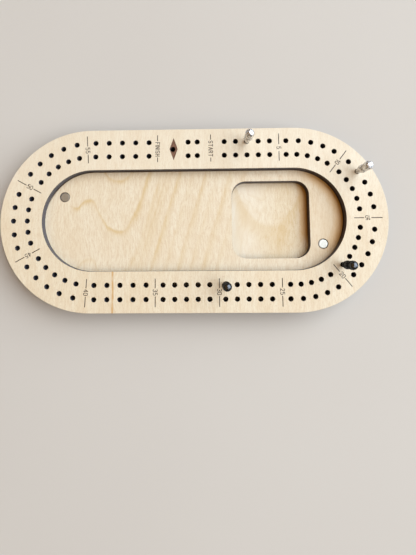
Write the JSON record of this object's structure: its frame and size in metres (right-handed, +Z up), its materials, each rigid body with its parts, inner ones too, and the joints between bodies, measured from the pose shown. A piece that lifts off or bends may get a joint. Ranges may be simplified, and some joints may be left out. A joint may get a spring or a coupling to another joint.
{
  "type": "cribbage board",
  "caption": "Oblong plywood cribbage board with paired rows of peg holes round a recessed tray, a rounded peg pocket, small magnets and lift-out turned pegs.",
  "frame": {"origin": "middle of the board's footprint, on the surface it stands on", "axes": "+X along the board towards the end with the peg pocket, +Y towards the side with the start and finish, +Z up"},
  "size_m": [0.254, 0.1206, 0.0389],
  "materials": {
    "birch_plywood": "bare birch, charred cut edges",
    "nickel_plate": "satin nickel plate",
    "bright_chrome": "polished",
    "black_enamel": "gloss"
  },
  "bodies": {
    "board": {"track_ring": "birch_plywood", "tray_layer": "birch_plywood", "base_layer": "birch_plywood", "magnet_left": "nickel_plate", "magnet_right": "nickel_plate"},
    "peg_silver_back": {"peg_silver_back": "bright_chrome"},
    "peg_silver_front": {"peg_silver_front": "bright_chrome"},
    "peg_black_back": {"peg_black_back": "black_enamel"},
    "peg_black_front": {"peg_black_front": "black_enamel"}
  },
  "joints": [
    {"name": "peg_silver_back_lift", "type": "slide", "parent": "board", "child": "peg_silver_back", "axis": [0, 0, 1], "range_m": [0, 0.03]},
    {"name": "peg_silver_front_lift", "type": "slide", "parent": "board", "child": "peg_silver_front", "axis": [0, 0, 1], "range_m": [0, 0.03]},
    {"name": "peg_black_back_lift", "type": "slide", "parent": "board", "child": "peg_black_back", "axis": [0, 0, 1], "range_m": [0, 0.03]},
    {"name": "peg_black_front_lift", "type": "slide", "parent": "board", "child": "peg_black_front", "axis": [0, 0, 1], "range_m": [0, 0.03]}
  ]
}
